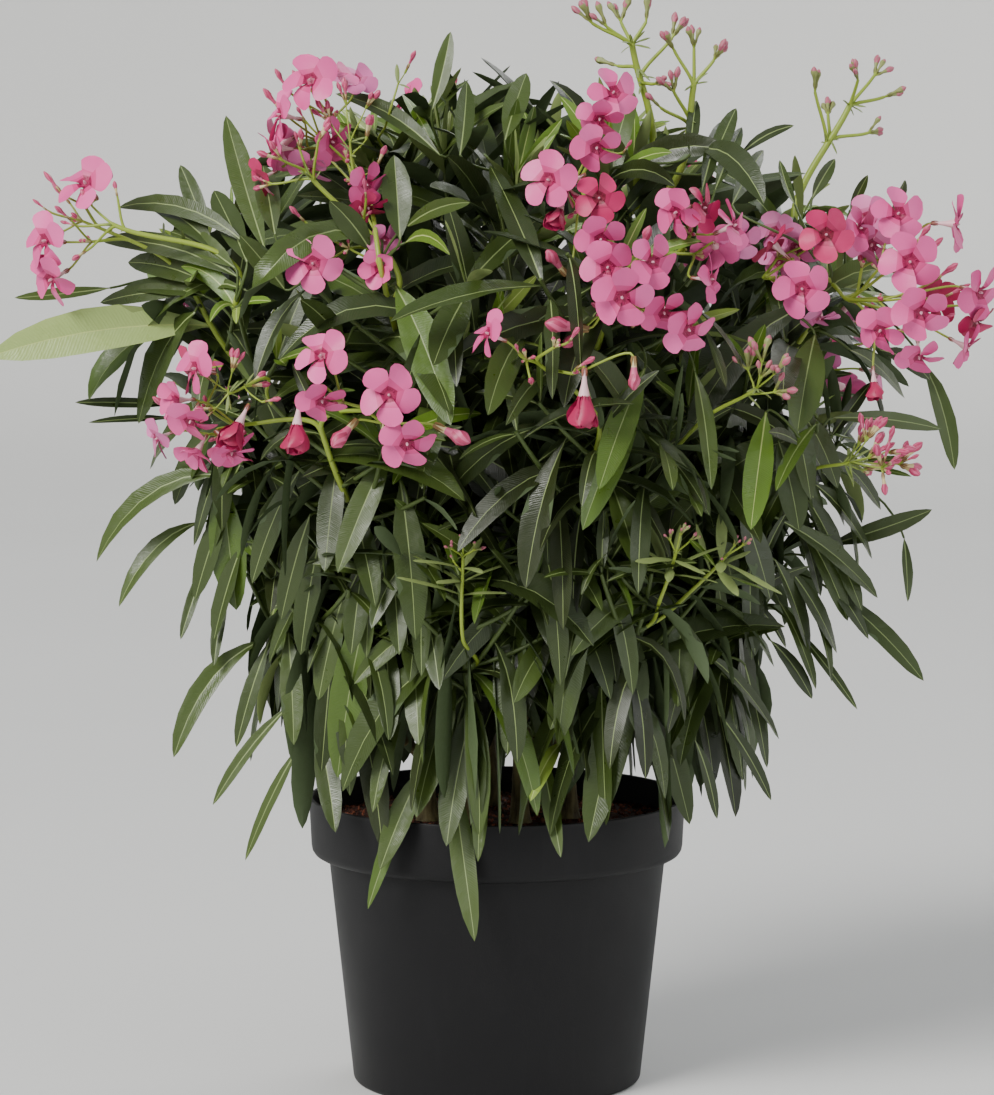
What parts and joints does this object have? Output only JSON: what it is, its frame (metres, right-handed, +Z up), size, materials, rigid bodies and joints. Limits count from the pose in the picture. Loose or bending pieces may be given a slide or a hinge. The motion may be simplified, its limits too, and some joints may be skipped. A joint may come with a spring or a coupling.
{
  "type": "potted oleander",
  "caption": "Bushy oleander in full bloom in a round plastic nursery pot: stems that branch into leafy shoots, narrow whorled leaves and loose heads of pink flowers and buds.",
  "frame": {"origin": "centre of the pot's flat underside", "axes": "+Z up along the pot's axis; -Y is the front, the side the fullest heads of blossom face"},
  "size_m": [0.6726, 0.6051, 0.7556],
  "materials": {
    "pot": "matt charcoal moulded plastic",
    "potting_mix": "moist reddish-brown bark and peat",
    "bark": "smooth olive-brown bark",
    "foliage": "leathery green leaves with pink blossom"
  },
  "bodies": {
    "root": {"pot": "pot", "potting_mix": "potting_mix", "stem_1": "bark", "stem_2": "bark", "stem_3": "bark", "stem_4": "bark", "stem_5": "bark", "stem_6": "bark", "stem_7": "bark", "bough_middle_1": "bark", "bough_middle_2": "bark", "bough_middle_3": "bark", "bough_middle_4": "bark", "bough_middle_5": "bark", "bough_middle_6": "bark", "bough_middle_7": "bark", "bough_skirt_1": "bark", "bough_skirt_2": "bark", "bough_skirt_3": "bark", "bough_skirt_4": "bark", "bough_skirt_5": "bark", "bough_skirt_6": "bark", "bough_skirt_7": "bark", "bough_skirt_8": "bark", "bough_skirt_9": "bark", "bough_upper_1": "bark", "bough_upper_3": "bark", "bough_upper_4": "bark", "bough_upper_5": "bark", "bough_upper_7": "bark", "foliage_crown_1": "foliage", "foliage_crown_2": "foliage", "foliage_crown_3": "foliage", "foliage_crown_4": "foliage", "foliage_middle_1": "foliage", "foliage_middle_2": "foliage", "foliage_middle_3": "foliage", "foliage_middle_4": "foliage", "foliage_middle_5": "foliage", "foliage_middle_6": "foliage", "foliage_middle_7": "foliage", "foliage_skirt_1": "foliage", "foliage_skirt_2": "foliage", "foliage_skirt_3": "foliage", "foliage_skirt_4": "foliage", "foliage_skirt_5": "foliage", "foliage_skirt_6": "foliage", "foliage_skirt_7": "foliage", "foliage_skirt_8": "foliage", "foliage_skirt_9": "foliage", "foliage_upper_1": "foliage", "foliage_upper_2": "foliage", "foliage_upper_3": "foliage", "foliage_upper_4": "foliage", "foliage_upper_5": "foliage", "foliage_upper_6": "foliage", "foliage_upper_7": "foliage", "foliage_upper_8": "foliage"}
  },
  "joints": []
}
